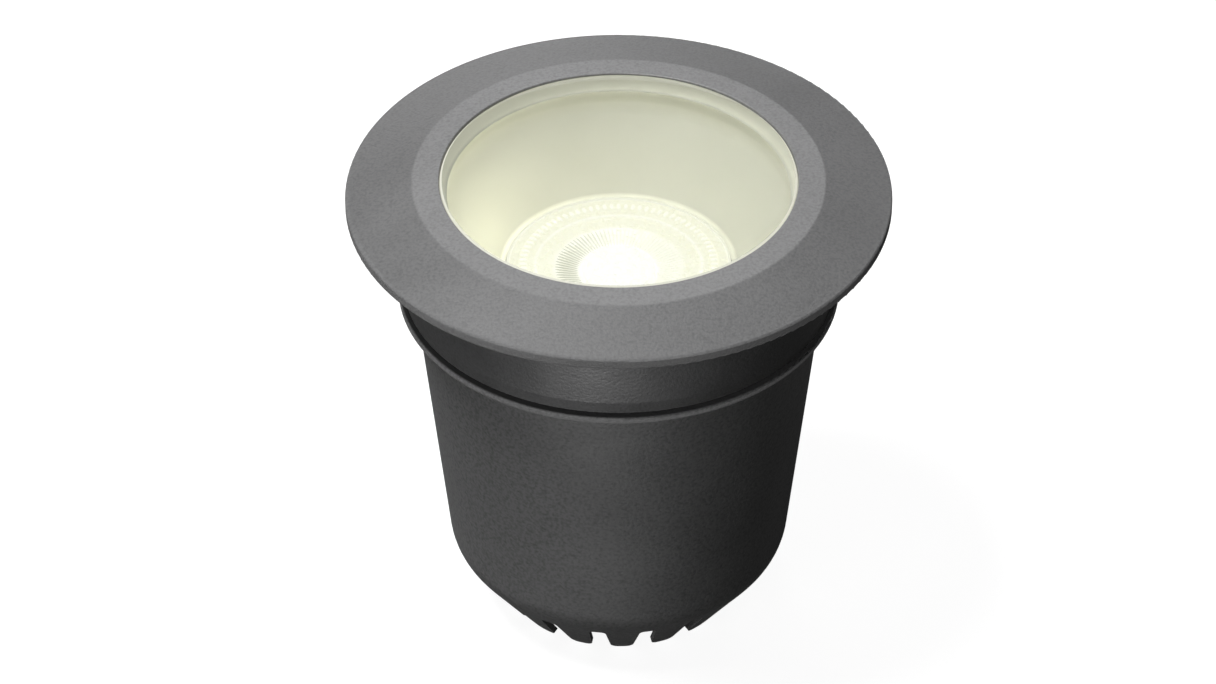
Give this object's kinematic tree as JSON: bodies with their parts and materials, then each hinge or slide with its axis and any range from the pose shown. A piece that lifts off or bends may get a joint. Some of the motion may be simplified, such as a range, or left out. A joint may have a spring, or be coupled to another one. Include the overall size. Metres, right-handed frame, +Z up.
{
  "type": "in ground well light",
  "caption": "Round recessed ground light: flanged bezel and thick glass over a white reflector and lamp, in a tapered sleeve with a notched foot.",
  "frame": {"origin": "centre of the foot's rim, on the plane that the part stands on", "axes": "+Z up along the light's axis, -Y is the front in the picture"},
  "size_m": [0.12, 0.12, 0.1128],
  "materials": {
    "sleeve_grain": "grained, matt dark grey",
    "bezel_coat": "fine grained grey powder coat",
    "clear_glass": "polished toughened glass",
    "pale_silicone": "soft pale silicone",
    "reflector_white": "smooth satin white",
    "housing_coat": "cast, satin dark grey",
    "black_rubber": "matt black rubber",
    "lamp_white": "satin white",
    "lamp_lens": "lit diffusing lens",
    "led_board": "white board with a yellow chip",
    "plated_pins": "nickel plated",
    "ceramic": "unglazed steatite",
    "brass_contacts": "bright brass",
    "steel": "zinc plated",
    "spring_steel": "bright rolled stainless",
    "block_nylon": "natural nylon",
    "gland_nylon": "black nylon",
    "brown_insulation": "brown sleeve",
    "blue_insulation": "blue sleeve",
    "green_insulation": "green and yellow sleeve"
  },
  "bodies": {
    "sleeve": {"mounting_sleeve": "sleeve_grain"},
    "housing": {"reflector_cone": "reflector_white", "housing": "housing_coat", "housing_o_ring": "black_rubber", "lampholder_cover": "ceramic", "lampholder_body": "ceramic", "holder_contacts": "brass_contacts", "holder_screws": "steel", "holder_bracket": "steel", "bracket_screws": "steel", "terminal_block": "block_nylon", "terminal_screws": "brass_contacts", "terminal_block_screw": "steel", "earth_tag": "plated_pins", "earth_screw": "steel", "live_wire": "brown_insulation", "neutral_wire": "blue_insulation", "earth_wire": "green_insulation", "gland_body": "gland_nylon", "gland_washer": "black_rubber", "gland_locknut": "gland_nylon", "gland_seal": "black_rubber", "gland_nut": "gland_nylon", "friction_springs": "spring_steel", "spring_screws": "steel"},
    "glass_pack": {"glass_pane": "clear_glass", "glass_gasket": "pale_silicone"},
    "bezel": {"bezel_ring": "bezel_coat"},
    "lamp": {"lamp_shell": "lamp_white", "lamp_lens": "lamp_lens", "lamp_led_board": "led_board", "lamp_base": "lamp_white", "lamp_pins": "plated_pins"}
  },
  "joints": [
    {"name": "luminaire_lift", "type": "slide", "parent": "sleeve", "child": "housing", "axis": [0, 0, 1], "range_m": [0, 0.1]},
    {"name": "cover_rise", "type": "slide", "parent": "housing", "child": "glass_pack", "axis": [0, 0, 1], "range_m": [0, 0.009]},
    {"name": "bezel_turn", "type": "hinge", "parent": "glass_pack", "child": "bezel", "pos_m": [0, 0, 0.0949], "axis": [0, 0, 1], "range_deg": [0, 1080]},
    {"name": "lamp_twist", "type": "hinge", "parent": "housing", "child": "lamp", "pos_m": [0, 0, 0.0384], "axis": [0, 0, 1], "range_deg": [0, 25]}
  ],
  "couplings": [
    {"joint": "cover_rise", "follows": "bezel_turn", "m_per_rad": 0.00047746}
  ]
}
